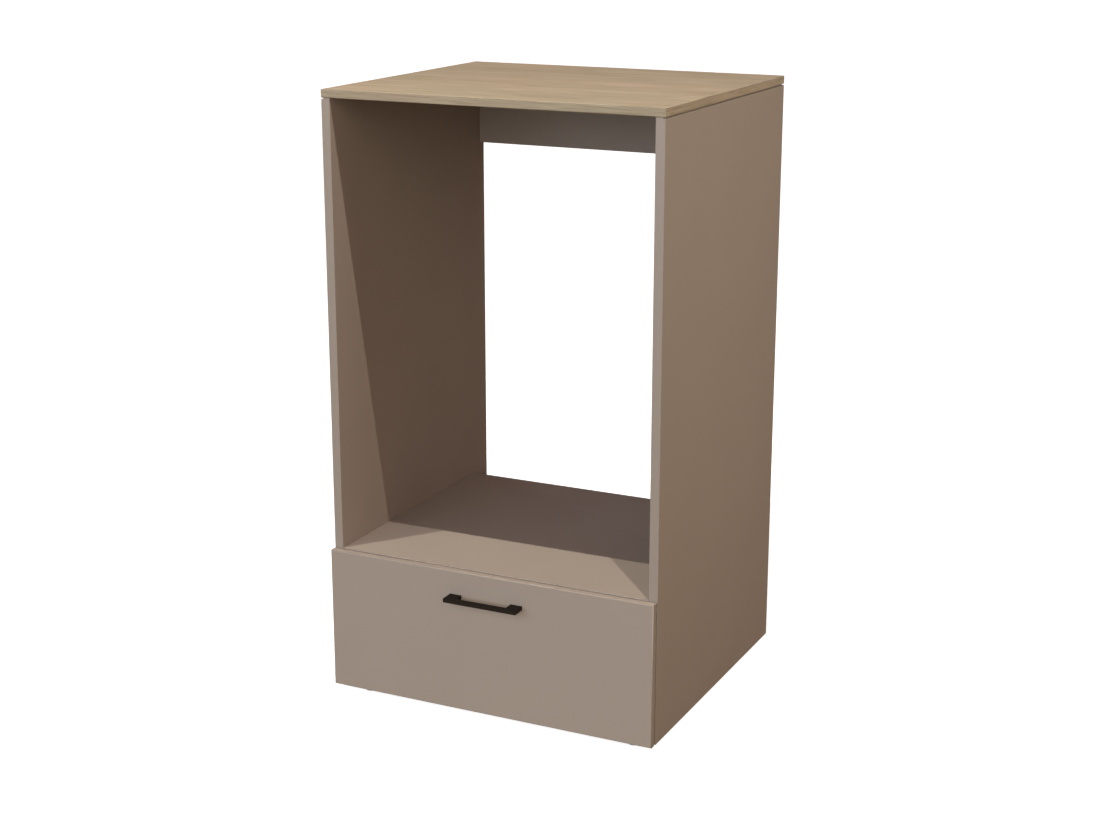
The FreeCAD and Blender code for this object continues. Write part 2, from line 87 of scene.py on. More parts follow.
def length_property(name, description, millimetres):
    """A length setting, given in millimetres."""
    return FloatProperty(
        name=name, description=description, unit="LENGTH", min=0, precision=5, default=millimetres * MM
    )


def place_property(name, description, *metres):
    """A point setting, given in metres."""
    return FloatVectorProperty(
        name=name, description=description, subtype="TRANSLATION", unit="LENGTH", precision=4, default=metres
    )


def angle_property(name, description, degrees):
    """An angle setting, given in degrees."""
    return FloatProperty(name=name, description=description, subtype="ANGLE", default=math.radians(degrees))


def amount_property(name, description, amount, unit="NONE"):
    """A setting for a light's power or strength."""
    return FloatProperty(name=name, description=description, unit=unit, min=0, default=amount)


def steps_property(name, description, steps):
    """A setting for the number of steps in a round shape."""
    return IntProperty(name=name, description=description, min=1, default=steps)


class CabinetFinish(bpy.types.PropertyGroup):
    """Colours of the cabinet's surfaces"""

    laminate: colour_property("Laminate", "Taupe of the carcass boards and the drawer front", "#9B8C80")
    oak_pale: colour_property("Oak, pale", "Early wood of the worktop's oak print", "#A69780")
    oak_deep: colour_property("Oak, deep", "Late wood of the worktop's oak print", "#8A7C67")
    oak_blush: colour_property("Oak, blush", "Pinkish patches of the worktop's oak print", "#A78F7B")
    oak_pore: colour_property("Oak, pores", "Fine dark pores of the worktop's oak print", "#76654E")
    drawer_board: colour_property("Drawer board", "Pale grey of the drawer's sides and back", "#C9C4BC")
    drawer_base: colour_property("Drawer base", "Lacquered upper face of the drawer's bottom", "#D3CEC5")
    handle: colour_property("Handle", "Black powder coat of the handle", "#251E17")
    glide: colour_property("Feet", "Dark plastic of the feet", "#3A342E")
    runner: colour_property("Runners", "White epoxy coat of the runners", "#DAD8D2")
    nylon: colour_property("Rollers", "Natural nylon of the rollers", "#D9D4C6")
    bumper: colour_property("Bumpers", "Clear polyurethane of the bumpers", "#B9B6AE")
    plated: colour_property("Plated steel", "Zinc plating of the screws, axles and bolts", "#C3C2BD")
    cast: colour_property("Cast zinc", "Bare zinc of the cam discs", "#A5A6A8")
    beech_pale: colour_property("Beech, pale", "Ground of the dowels' beech", "#D2B18A")
    beech_deep: colour_property("Beech, deep", "Flecks of the dowels' beech", "#A9835C")


class CabinetDetail(bpy.types.PropertyGroup):
    """Sizes of the details that the frame doesn't give"""

    easing: length_property("Board easing", "Rounding of the boards' edges", 0.6)
    banding: length_property("Edge banding", "Thickness of the bands on the boards' edges", 1.0)
    step_depth: length_property("Step depth", "Width of the step under the worktop, on the outer face", 4.5)
    step_lip: length_property("Step lip", "Width of the step under the worktop, at front and back", 1.2)
    step_height: length_property("Step height", "Height of the step under the worktop", 2.2)
    worktop_lip: length_property("Worktop lip", "Rounding of the worktop's lower edges", 1.5)
    front_lip: length_property("Drawer front lip", "Rounding of the drawer front's rear edges", 3.0)
    fold: length_property("Runner fold", "Rounding of the runners' folds", 0.5)
    handle_easing: length_property("Handle easing", "Rounding of the handle's edges", 0.5)
    handle_post: length_property("Handle post", "Width of each post of the handle", 24)
    handle_bar: length_property("Handle bar", "Depth of the handle's bar", 9)
    handle_spacing: length_property("Handle spacing", "Distance between the handle's screws", 128)
    moulded_easing: length_property("Moulded easing", "Rounding of the plastic pieces' edges", 0.4)
    foot_sole: length_property("Foot sole", "Diameter of a foot on the floor", 28)
    foot_waist: length_property("Foot waist", "Diameter of a foot under its collar", 30)
    foot_collar: length_property("Foot collar", "Diameter of a foot's collar", 32)
    foot_collar_height: length_property("Foot collar height", "Height of a foot's collar", 4.5)
    foot_rounding: length_property("Foot rounding", "Rounding of a foot's sole", 2.4)
    roller_bore: length_property("Roller bore", "Diameter of a roller's bore", 5.1)
    roller_hub: length_property("Roller hub", "Diameter of a roller's hub", 10)
    roller_rim: length_property("Roller rim", "Inner diameter of a roller's rim", 17.4)
    roller_web: length_property("Roller web", "Thickness of the web between hub and rim", 4.6)
    bumper_corner: length_property("Bumper corner", "Rounding of a bumper's corners", 2.5)
    bumper_easing: length_property("Bumper easing", "Rounding of a bumper's rim", 0.3)
    runner_steel: length_property("Runner steel", "Thickness of the runners' steel", 1.2)
    runner_screw: length_property("Runner screw", "Diameter of a runner screw's head", 7)
    runner_rows: FloatVectorProperty(
        name="Runner rows", description="Distances of a cabinet runner's screws from the side panel's front",
        unit="LENGTH", default=(37 * MM, 261 * MM, 453 * MM),
    )
    cabinet_head: length_property("Cabinet screw head", "Height of a cabinet runner's screw heads", 0.5)
    drawer_head: length_property("Drawer screw head", "Height of a drawer runner's screw heads", 1.4)
    screw_inset: length_property("Screw inset", "From a drawer runner's inner edge to its screws", 7)
    screw_margin: length_property("Screw margin", "From a drawer runner's end to its end screw", 40)
    handle_screw: length_property("Handle screw", "Diameter of a handle screw's head", 8)
    handle_head: length_property("Handle screw head", "Height of the handle's screw heads", 2.2)
    turn_steps: steps_property("Turn steps", "Steps in a full turn of a foot or roller", 48)
    screw_steps: steps_property("Screw steps", "Steps in a full turn of a screw's head", 24)
    edge_steps: steps_property("Edge steps", "Steps across the edge of a board, runner or handle", 4)
    moulded_steps: steps_property("Moulded steps", "Steps across the edge of a plastic piece", 3)
    sole_steps: steps_property("Sole steps", "Steps across the rounding of a foot's sole", 5)
    corner_steps: steps_property("Corner steps", "Steps across the corner of a bumper", 6)


class CabinetStage(bpy.types.PropertyGroup):
    """Camera, lights and floor of the studio"""

    lens: FloatProperty(name="Lens", description="Focal length", unit="CAMERA", default=62.62)
    camera_place: place_property("Camera place", "Where the camera stands", 1.5712, -3.2568, 1.5588)
    camera_pitch: angle_property("Camera pitch", "How far the camera looks down", 15.67)
    camera_turn: angle_property("Camera turn", "How far round to the right the camera stands", 25.89)
    key_power: amount_property("Key lights", "Power of each key light", 36, "POWER")
    key_radius: length_property("Key radius", "Radius of each key light", 4)
    left_key_place: place_property("Left key place", "Where the left key hangs", -0.484, -0.4965, 2.264)
    left_key: colour_property("Left key", "Colour of the left key light", "#FCFEF0")
    right_key_place: place_property("Right key place", "Where the right key hangs", 0.517, -0.4965, 2.264)
    right_key: colour_property("Right key", "Colour of the right key light", "#F0EBE6")
    fill_strength: amount_property("Front fill", "Strength of the soft front light", 1.53)
    cool_fill: colour_property("Cool fill", "Colour of the front fills ahead and on the left", "#DCF1FF")
    warm_fill: colour_property("Warm fill", "Colour of the front fill on the right", "#FFEFD9")
    back_strength: amount_property("Back fill", "Strength of the light behind", 0.6)
    warm_back: colour_property("Warm back fill", "Colour of the fill from the left rear", "#FFF6EA")
    cool_back: colour_property("Cool back fill", "Colour of the level fills, rear and left", "#E4F0FF")
    side_power: amount_property("Side box", "Power of the right-hand light", 11.1, "POWER")
    side_width: length_property("Side box width", "Width of the right-hand light", 1000)
    side_place: place_property("Side box place", "Where the right-hand light stands", 1.9, -0.02, 1.36)
    side_aim: place_property("Side box aim", "Point that the right-hand light faces", 0.34, 0, 0.9)
    side_colour: colour_property("Side box colour", "Colour of the right-hand light", "#FEFFEF")
    air_strength: amount_property("Air", "Strength of the light from all round", 0.14)
    air_colour: colour_property("Air colour", "Colour of the light from all round", "#FFBCBC")
    floor_reach: length_property("Floor reach", "Distance from the cabinet to the floor's edge", 60000)
    floor_glow: amount_property("Floor glow", "How much the floor shines by itself to the camera", 0.85)
    floor_paper: colour_property("Floor paper", "Colour of the floor to the camera", "#E7E7E7")
    floor_bounce: colour_property("Floor bounce", "Colour of the floor to the cabinet", "#8F7F6A")


def add_node(tree, kind, inputs=None, output=None, **settings):
    """Adds a shader node and returns an output of it. An input, by name or number, takes a value, or a socket
    to link from."""
    made = tree.nodes.new(kind)
    for name, value in settings.items():
        setattr(made, name, value)
    for key, value in (inputs or {}).items():
        socket = next(s for i, s in enumerate(made.inputs) if s.enabled and key in (i, s.name))
        if isinstance(value, bpy.types.NodeSocket):
            tree.links.new(value, socket)
        else:
            socket.default_value = value
    return next((s for s in made.outputs if s.enabled and output in (None, s.name)), None)


def empty_tree(owner):
    """The node tree of a material, light or world, with nothing in it."""
    owner.use_nodes = True
    owner.node_tree.nodes.clear()
    return owner.node_tree


def start_material(name):
    """A new material, its node tree and the Object coordinates that its patterns lie on."""
    material = bpy.data.materials.new(name)
    tree = empty_tree(material)
    return material, tree, add_node(tree, "ShaderNodeTexCoord", output="Object")


def finish_material(tree, sockets):
    """Adds the surface shader with those sockets."""
    shader = add_node(tree, "ShaderNodeBsdfPrincipled", sockets)
    add_node(tree, "ShaderNodeOutputMaterial", {"Surface": shader})


def per_metre(millimetres):
    """A noise scale whose patches are about that wide."""
    return 1 / (millimetres * MM)


def stretched(x, y, z):
    """A mapping scale whose noise patches are about that many millimetres wide each way."""
    return tuple(per_metre(width) for width in (x, y, z))


def shaded(colour, share):
    """A colour at that share of its brightness."""
    return [min(1.0, c * share) for c in colour[:3]] + [1.0]


def melamine(name, colour, roughness=0.55):
    """Melamine-faced board: resin paper pressed against a finely pitted plate, so it is matt and even, with
    a faint cloudiness. The pits are really 0.3 mm wide and are drawn three times as coarse so that they
    show."""
    cloud_width, pit_width, pit_depth = 160, 1, 0.1
    material, tree, place = start_material(name)
    cloud = add_node(
        tree, "ShaderNodeTexNoise", {"Vector": place, "Scale": per_metre(cloud_width), "Detail": 3.0}
    )
    pits = add_node(
        tree, "ShaderNodeTexNoise", {"Vector": place, "Scale": per_metre(pit_width), "Detail": 2.0}
    )
    dim, clear = shaded(colour, 0.95), shaded(colour, 1.05)
    clouded = add_node(tree, "ShaderNodeMix", {"Factor": cloud, "A": dim, "B": clear}, data_type="RGBA")
    # Painted shade and light: the colour is darker in the sunk pits and paler where the surface is raised, by
    # the same noise that makes the bump.
    sunk, raised = shaded(colour, 0.9), shaded(colour, 1.1)
    pitted = add_node(tree, "ShaderNodeMix", {"Factor": pits, "A": sunk, "B": raised}, data_type="RGBA")
    toned = add_node(tree, "ShaderNodeMix", {"Factor": 0.35, "A": clouded, "B": pitted}, data_type="RGBA")
    sheen = add_node(
        tree, "ShaderNodeMapRange", {"Value": pits, "To Min": roughness - 0.06, "To Max": roughness + 0.08}
    )
    relief = add_node(tree, "ShaderNodeBump", {"Height": pits, "Strength": 0.12, "Distance": pit_depth * MM})
    finish_material(tree, {"Base Color": toned, "Roughness": sheen, "Normal": relief, "IOR": 1.5})
    return material


def plastic_banding(name, colour):
    """ABS edge band: extruded and trimmed, a shade smoother than the board's face, so its rounded edge
    catches a line of light. Its colour is painted a little darker than the face, painted shade on the
    boards' edges, and the trimming knife leaves faint marks a few millimetres long in it."""
    mark_length = 4
    material, tree, place = start_material(name)
    scrape = add_node(
        tree, "ShaderNodeTexNoise", {"Vector": place, "Scale": per_metre(mark_length), "Detail": 2.0}
    )
    # Painted shade: the band's colour is the face's own, darkened a little, with the knife marks in it.
    dark, pale = shaded(colour, 0.91), shaded(colour, 0.99)
    toned = add_node(tree, "ShaderNodeMix", {"Factor": scrape, "A": dark, "B": pale}, data_type="RGBA")
    sheen = add_node(tree, "ShaderNodeMapRange", {"Value": scrape, "To Min": 0.42, "To Max": 0.5})
    finish_material(tree, {"Base Color": toned, "Roughness": sheen, "IOR": 1.5})
    return material


def oak_print(name, finish, turn, shade):
    """Oak-print laminate: broad bands and narrower streaks of early and late wood along the grain, faint
    pinkish patches, and short dark pores pressed into the paper. Shade scales the whole print as painted
    light: the edge bands are painted paler than the face, and the end bands palest. The bands are turned a
    quarter on the worktop's ends, where the grain runs along the edge. Pores are really 0.3 mm wide and are
    drawn ten times as coarse so that they show."""
    pore_depth = 0.15
    material, tree, place = start_material(name)
    grain = add_node(tree, "ShaderNodeMapping", {"Vector": place, "Rotation": (0, 0, turn)})
    # Shade scales the whole print: each copy's painted light, paler on the edge bands and palest on the ends.
    wood = shaded(finish.oak_pale, shade)
    figures = {}
    # A layer's patches are that many millimetres along and across the grain. It shows where its noise is
    # above bare, and by its whole share where the noise is above full.
    for layer, along, across, detail, bare, full, share, colour in (
        ("bands", 600, 75, 3.0, 0.35, 0.65, 0.4, finish.oak_deep),
        ("streaks", 170, 14, 5.0, 0.38, 0.66, 0.8, finish.oak_deep),
        ("patches", 260, 110, 2.0, 0.48, 0.66, 0.4, finish.oak_blush),
        ("pores", 90, 3, 2.0, 0.5, 0.72, 0.6, finish.oak_pore),
    ):
        scale = stretched(along, across, across)
        drawn = add_node(tree, "ShaderNodeMapping", {"Vector": grain, "Scale": scale})
        figure = add_node(
            tree, "ShaderNodeTexNoise", {"Vector": drawn, "Scale": 1.0, "Detail": detail, "Roughness": 0.7}
        )
        amount = add_node(
            tree, "ShaderNodeMapRange", {"Value": figure, "From Min": bare, "From Max": full, "To Max": share}
        )
        tone = shaded(colour, shade)
        wood = add_node(tree, "ShaderNodeMix", {"Factor": amount, "A": wood, "B": tone}, data_type="RGBA")
        figures[layer] = figure
    pores = figures["pores"]
    relief = add_node(
        tree, "ShaderNodeBump", {"Height": pores, "Strength": 0.25, "Distance": pore_depth * MM}, invert=True
    )
    sheen = add_node(tree, "ShaderNodeMapRange", {"Value": pores, "To Min": 0.58, "To Max": 0.72})
    finish_material(
        tree,
        {"Base Color": wood, "Roughness": sheen, "Normal": relief, "IOR": 1.5, "Specular IOR Level": 0.3},
    )
    return material


def powder_coat(name, colour):
    """Black powder coat on die-cast zinc: a fine orange peel that breaks up the highlights on the edges."""
    peel_width, peel_depth = 0.9, 0.08
    material, tree, place = start_material(name)
    peel = add_node(
        tree, "ShaderNodeTexNoise", {"Vector": place, "Scale": per_metre(peel_width), "Detail": 2.0}
    )
    relief = add_node(tree, "ShaderNodeBump", {"Height": peel, "Strength": 0.3, "Distance": peel_depth * MM})
    # Painted light and shade: the colour is paler on the rises of the peel and darker in its dips, by the
    # same noise that makes the bump.
    dark, pale = shaded(colour, 0.85), shaded(colour, 1.2)
    toned = add_node(tree, "ShaderNodeMix", {"Factor": peel, "A": dark, "B": pale}, data_type="RGBA")
    finish_material(
        tree,
        {"Base Color": toned, "Roughness": 0.6, "Normal": relief, "IOR": 1.5, "Specular IOR Level": 0.12},
    )
    return material


def moulded_plastic(name, colour, roughness):
    """Injection-moulded plastic: a faint spark-eroded grain, slightly cloudy in the thick places. The grain
    is really about 0.1 mm wide and is drawn seven times as coarse so that it shows."""
    grain_width, grain_depth, cloud_width = 0.7, 0.05, 9
    material, tree, place = start_material(name)
    grain = add_node(
        tree, "ShaderNodeTexNoise", {"Vector": place, "Scale": per_metre(grain_width), "Detail": 2.0}
    )
    cloud = add_node(
        tree, "ShaderNodeTexNoise", {"Vector": place, "Scale": per_metre(cloud_width), "Detail": 1.0}
    )
    dark, pale = shaded(colour, 0.9), shaded(colour, 1.08)
    toned = add_node(tree, "ShaderNodeMix", {"Factor": cloud, "A": dark, "B": pale}, data_type="RGBA")
    relief = add_node(
        tree, "ShaderNodeBump", {"Height": grain, "Strength": 0.15, "Distance": grain_depth * MM}
    )
    finish_material(tree, {"Base Color": toned, "Roughness": roughness, "Normal": relief, "IOR": 1.5})
    return material


def coated_steel(name, colour):
    """Epoxy-coated strip steel: smooth, half glossy, with faint lines along the rolled strip."""
    line_width, line_length = 1.1, 80
    material, tree, place = start_material(name)
    scale = stretched(line_width, line_length, line_width)
    rolled = add_node(tree, "ShaderNodeMapping", {"Vector": place, "Scale": scale})
    lines = add_node(tree, "ShaderNodeTexNoise", {"Vector": rolled, "Scale": 1.0, "Detail": 2.0})
    dark, pale = shaded(colour, 0.94), shaded(colour, 1.04)
    toned = add_node(tree, "ShaderNodeMix", {"Factor": lines, "A": dark, "B": pale}, data_type="RGBA")
    sheen = add_node(tree, "ShaderNodeMapRange", {"Value": lines, "To Min": 0.28, "To Max": 0.42})
    finish_material(tree, {"Base Color": toned, "Roughness": sheen, "IOR": 1.5})
    return material


def bare_metal(name, colour, roughness):
    """Bare metal fittings: zinc-plated steel or die-cast zinc, clouded by the bath or the mould."""
    cloud_width = 1.5
    material, tree, place = start_material(name)
    cloud = add_node(
        tree, "ShaderNodeTexNoise", {"Vector": place, "Scale": per_metre(cloud_width), "Detail": 3.0}
    )
    dark, pale = shaded(colour, 0.85), shaded(colour, 1.1)
    toned = add_node(tree, "ShaderNodeMix", {"Factor": cloud, "A": dark, "B": pale}, data_type="RGBA")
    sheen = add_node(
        tree, "ShaderNodeMapRange", {"Value": cloud, "To Min": roughness - 0.08, "To Max": roughness + 0.1}
    )
    finish_material(tree, {"Base Color": toned, "Roughness": sheen, "Metallic": 1.0})
    return material


def beech(name, deep, pale):
    """Beech dowel rod: pale pinkish wood with small brown flecks."""
    fleck_width = 1.2
    material, tree, place = start_material(name)
    fleck = add_node(
        tree, "ShaderNodeTexNoise", {"Vector": place, "Scale": per_metre(fleck_width), "Detail": 3.0}
    )
    toned = add_node(tree, "ShaderNodeMix", {"Factor": fleck, "A": deep, "B": pale}, data_type="RGBA")
    finish_material(tree, {"Base Color": toned, "Roughness": 0.7, "IOR": 1.5})
    return material


def shared(name, make, *colours, **settings):
    """The material of that name, made on first use."""
    return bpy.data.materials.get(name) or make(name, *colours, **settings)


def merged_copy(node):
    """A CAD node's solid with its loose triangles merged into whole faces."""
    least_turn = math.radians(0.5)
    bm = bmesh.new()
    bm.from_mesh(frame["nodes"][node].data)
    bmesh.ops.remove_doubles(bm, verts=bm.verts, dist=WELD)
    bmesh.ops.dissolve_limit(bm, angle_limit=least_turn, verts=bm.verts, edges=bm.edges)
    return bm


def verts_in(parts):
    """The vertices among the parts that a bmesh operator gives."""
    return [part for part in parts if isinstance(part, bmesh.types.BMVert)]


def sides_near(points, low, high, reach):
    """The sides of a box, as (axis, end), that all the points lie within reach of."""
    return [
        (axis, end)
        for axis in (X, Y, Z)
        for end, limit in ((-1, low[axis]), (1, high[axis]))
        if all(abs(point[axis] - limit) < reach for point in points)
    ]


def sharp_edges(bm):
    """The edges that stand out sharply."""
    return [e for e in bm.edges if e.is_convex and e.calc_face_angle(0) > SHARP]


def round_edges(bm, edges, radius, steps):
    """Rounds those edges."""
    bmesh.ops.bevel(
        bm, geom=edges, offset=radius, offset_type="OFFSET", segments=steps, profile=0.5, affect="EDGES",
        clamp_overlap=True, material=-1,
    )


def rim_of(side):
    """The edges round one side of a box, as pairs of sides."""
    return [(side, (axis, end)) for axis in (X, Y, Z) if axis != side[0] for end in SIDES]


def outline_edges(bm, low, high, pairs=()):
    """The sharp edges that run along two sides of a board's box, or along one of the given pairs of sides."""
    reach = 2.1 * MM
    near = {e: set(sides_near([v.co for v in e.verts], low, high, reach)) for e in sharp_edges(bm)}
    if pairs:
        return [edge for edge, sides in near.items() if any(sides.issuperset(pair) for pair in pairs)]
    return [edge for edge, sides in near.items() if len(sides) >= 2]


def cut_step(bm, low, high, side, depth, lip, height):
    """Cuts a step round the top of a side panel, so that a dark line shows under the worktop. Depth is its
    width on the outer face, and lip at the front and the back. Returns the upper corner of the box below
    the step."""
    ledge = high.z - height
    wall_x = (high.x if side > 0 else low.x) - side * depth
    front, back = low.y + lip, high.y - lip
    for place, normal in (
        ((0, 0, ledge), (0, 0, 1)),
        ((wall_x, 0, 0), (1, 0, 0)),
        ((0, front, 0), (0, 1, 0)),
        ((0, back, 0), (0, 1, 0)),
    ):
        upper = [v for v in bm.verts if v.co.z > ledge - HAIR or normal[Z]]
        chosen = set(upper)
        parts = [part for group in (bm.edges, bm.faces) for part in group if chosen.issuperset(part.verts)]
        bmesh.ops.bisect_plane(bm, geom=upper + parts, dist=WELD, plane_co=place, plane_no=normal)
    middles = {face: face.calc_center_median() for face in bm.faces}
    removed = [
        face
        for face, middle in middles.items()
        if middle.z > ledge + HAIR
        and (side * (middle.x - wall_x) > HAIR or not front - HAIR < middle.y < back + HAIR)
    ]
    bmesh.ops.delete(bm, geom=removed, context="FACES")
    brink = [e for e in bm.edges if e.is_boundary and all(v.co.z > high.z - HAIR for v in e.verts)]
    wall = bmesh.ops.extrude_edge_only(bm, edges=brink)["geom"]
    bmesh.ops.translate(bm, vec=(0, 0, -height), verts=verts_in(wall))
    bmesh.ops.remove_doubles(bm, verts=bm.verts, dist=WELD)
    bmesh.ops.edgeloop_fill(bm, edges=[e for e in bm.edges if e.is_boundary])
    bmesh.ops.recalc_face_normals(bm, faces=bm.faces)
    return Vector((high.x, high.y, ledge))


def smooth_round_faces(bm):
    """Flat faces along the axes stay flat, and all others are shaded smooth."""
    along_axis = 0.9999
    for face in bm.faces:
        face.smooth = max(abs(n) for n in face.normal) < along_axis


def make_piece(bm, name, material_list, body, replaced=()):
    """Makes an object of a finished bmesh and lets it ride on a body."""
    mesh = bpy.data.meshes.new(name)
    bm.to_mesh(mesh)
    bm.free()
    for material in material_list:
        mesh.materials.append(material)
    piece = bpy.data.objects.new(name, mesh)
    bpy.context.scene.collection.objects.link(piece)
    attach(piece, body)
    if replaced:
        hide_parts(*replaced)


def stand_in(bm, name, material_list, node):
    """Makes a piece, smooth where it is round, that takes a CAD node's place and body."""
    smooth_round_faces(bm)
    make_piece(bm, name, material_list, BODY_OF_NODE[node], [node])


def finished_board(node, material_list, detail, rounding, bands=None, pairs=(), step=None):
    """A board with rounded edges, all of them or those along the given pairs of sides. Bands gives the
    material number of each banded side, as {(axis, end): number}."""
    low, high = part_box(node)
    bm = merged_copy(node)
    round_edges(bm, outline_edges(bm, low, high, pairs), rounding, detail.edge_steps)
    if step:
        high = cut_step(bm, low, high, *step)
    for face in bm.faces if bands else ():
        for side in sides_near([face.calc_center_median()], low, high, detail.banding):
            face.material_index = bands.get(side, face.material_index)
    stand_in(bm, f"{node}_finished", material_list, node)


def dress_node(node, material):
    """Gives a CAD node that is shown as it is its material."""
    mesh = frame["nodes"][node].data
    mesh.materials.clear()
    mesh.materials.append(material)


def spin_outline(bm, outline, steps):
    """A round piece about the Z axis, from its outline of (radius, height) points."""
    verts = [bm.verts.new((radius, 0, height)) for radius, height in outline]
    edges = [bm.edges.new(pair) for pair in zip(verts, verts[1:])]
    bmesh.ops.spin(
        bm, geom=verts + edges, cent=(0, 0, 0), axis=(0, 0, 1), dvec=(0, 0, 0), angle=math.tau, steps=steps,
        use_merge=True, use_duplicate=False,
    )
    bmesh.ops.remove_doubles(bm, verts=bm.verts, dist=WELD)
    bmesh.ops.recalc_face_normals(bm, faces=bm.faces)


def copy_to(bm, places):
    """Copies everything in a bmesh to each of the places, given as matrices, and drops the first."""
    original = bm.verts[:] + bm.edges[:] + bm.faces[:]
    for matrix in places:
        made = bmesh.ops.duplicate(bm, geom=original)["geom"]
        bmesh.ops.transform(bm, matrix=matrix, verts=verts_in(made))
    bmesh.ops.delete(bm, geom=verts_in(original), context="VERTS")


class CabinetOperator(bpy.types.Operator):
    """What all the cabinet's operators share"""

    bl_options = {"REGISTER", "UNDO"}


class CABINET_OT_carcass(CabinetOperator):
    """Finish the boards of the carcass: matt taupe faces with banded, eased edges"""

    bl_idname = "cabinet.carcass"
    bl_label = "Carcass boards"

    def execute(self, context):
        finish = context.scene.cabinet_finish
        detail = context.scene.cabinet_detail
        skins = [
            shared("taupe melamine board", melamine, finish.laminate),
            shared("taupe ABS edge band", plastic_banding, finish.laminate),
        ]
        front_and_back = {(Y, -1): 1, (Y, 1): 1}
        top_and_bottom = {(Z, -1): 1, (Z, 1): 1}
        rims = rim_of((Z, -1)) + rim_of((Y, 1))
        for name, side in zip(LEFT_AND_RIGHT, SIDES):
            step = (side, detail.step_depth, detail.step_lip, detail.step_height)
            finished_board(f"{name}_side_panel", skins, detail, detail.easing, front_and_back, rims, step)
        for node in ("machine_shelf", "bottom_panel"):
            finished_board(node, skins, detail, detail.easing, front_and_back)
        for node in ("rear_top_rail", "lower_back_panel"):
            finished_board(node, skins, detail, detail.easing, top_and_bottom)
        return {"FINISHED"}


class CABINET_OT_worktop(CabinetOperator):
    """Finish the worktop: oak print along the width, with bands whose grain follows each edge"""

    bl_idname = "cabinet.worktop"
    bl_label = "Worktop"

    def execute(self, context):
        finish = context.scene.cabinet_finish
        detail = context.scene.cabinet_detail
        skins = [
            # Painted light: the three copies of one print differ only in brightness, paler on the long edge
            # bands and palest on the ends.
            shared("oak print laminate", oak_print, finish, turn=0.0, shade=0.975),
            shared("oak print long edge band", oak_print, finish, turn=0.0, shade=1.05),
            shared("oak print end band", oak_print, finish, turn=math.pi / 2, shade=1.12),
        ]
        bands = {(Y, -1): 1, (Y, 1): 1, (X, -1): 2, (X, 1): 2}
        finished_board("worktop", skins, detail, detail.worktop_lip, bands, rim_of((Z, -1)))
        return {"FINISHED"}


class CABINET_OT_drawer_box(CabinetOperator):
    """Finish the drawer: its taupe front and its pale box"""

    bl_idname = "cabinet.drawer_box"
    bl_label = "Drawer front and box"

    def execute(self, context):
        finish = context.scene.cabinet_finish
        detail = context.scene.cabinet_detail
        face = shared("taupe melamine board", melamine, finish.laminate)
        finished_board("drawer_front", [face], detail, detail.front_lip, pairs=rim_of((Y, 1)))
        skins = [
            shared("pale grey melamine board", melamine, finish.drawer_board),
            shared("pale grey ABS edge band", plastic_banding, finish.drawer_board),
        ]
        for node in ("right_drawer_side", "left_drawer_side", "drawer_back"):
            finished_board(node, skins, detail, detail.easing, {(Z, 1): 1})
        base = shared("lacquered hardboard", melamine, finish.drawer_base, roughness=0.4)
        finished_board("drawer_bottom", [base], detail, detail.easing / 2)
        return {"FINISHED"}


class CABINET_OT_handle(CabinetOperator):
    """Model the handle: a flat bar on two wide posts, with softened edges"""

    bl_idname = "cabinet.handle"
    bl_label = "Handle"

    def execute(self, context):
        detail = context.scene.cabinet_detail
        low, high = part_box("handle")
        inside = high.x - detail.handle_post
        back_of_bar = low.y + detail.handle_bar
        outline = [
            (low.x, high.y), (low.x, low.y), (high.x, low.y), (high.x, high.y),
            (inside, high.y), (inside, back_of_bar), (-inside, back_of_bar), (-inside, high.y),
        ]
        bm = bmesh.new()
        sole = bm.faces.new([bm.verts.new((x, y, low.z)) for x, y in outline])
        raised = bmesh.ops.extrude_face_region(bm, geom=[sole])["geom"]
        bmesh.ops.translate(bm, vec=(0, 0, high.z - low.z), verts=verts_in(raised))
        bmesh.ops.recalc_face_normals(bm, faces=bm.faces)
        round_edges(bm, bm.edges[:], detail.handle_easing, detail.edge_steps)
        coat = shared("black powder coat", powder_coat, context.scene.cabinet_finish.handle)
        stand_in(bm, "bar_handle", [coat], "handle")
        return {"FINISHED"}


class CABINET_OT_feet(CabinetOperator):
    """Model the feet: turned plastic glides with a rounded sole and a collar under the bottom panel"""

    bl_idname = "cabinet.feet"
    bl_label = "Feet"

    def execute(self, context):
        detail = context.scene.cabinet_detail
        low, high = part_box("feet")
        widths = (detail.foot_sole, detail.foot_waist, detail.foot_collar)
        sole, waist, collar = (width / 2 for width in widths)
        ledge = high.z - detail.foot_collar_height
        outline = [(0, 0), (sole, 0), (waist, ledge), (collar, ledge), (collar, high.z), (0, high.z)]
        bm = bmesh.new()
        spin_outline(bm, outline, detail.turn_steps)
        sole_rim = [e for e in sharp_edges(bm) if all(v.co.z < ledge / 2 for v in e.verts)]
        round_edges(bm, sole_rim, detail.foot_rounding, detail.sole_steps)
        collar_rims = [e for e in sharp_edges(bm) if all(v.co.z > ledge / 2 for v in e.verts)]
        round_edges(bm, collar_rims, detail.moulded_easing, detail.moulded_steps)
        copy_to(bm, [
            Matrix.Translation((x, y, 0))
            for x in (low.x + collar, high.x - collar)
            for y in (low.y + collar, high.y - collar)
        ])
        plastic = shared(
            "dark polypropylene", moulded_plastic, context.scene.cabinet_finish.glide, roughness=0.5
        )
        stand_in(bm, "glides", [plastic], "feet")
        return {"FINISHED"}


class CABINET_OT_runners(CabinetOperator):
    """Finish the runners: folded strip steel with a white coat"""

    bl_idname = "cabinet.runners"
    bl_label = "Runners"

    def execute(self, context):
        detail = context.scene.cabinet_detail
        coat = shared("epoxy-coated strip steel", coated_steel, context.scene.cabinet_finish.runner)
        for side in LEFT_AND_RIGHT:
            for node in (f"{side}_cabinet_runner", f"{side}_drawer_runner"):
                finished_board(node, [coat], detail, detail.fold)
        return {"FINISHED"}


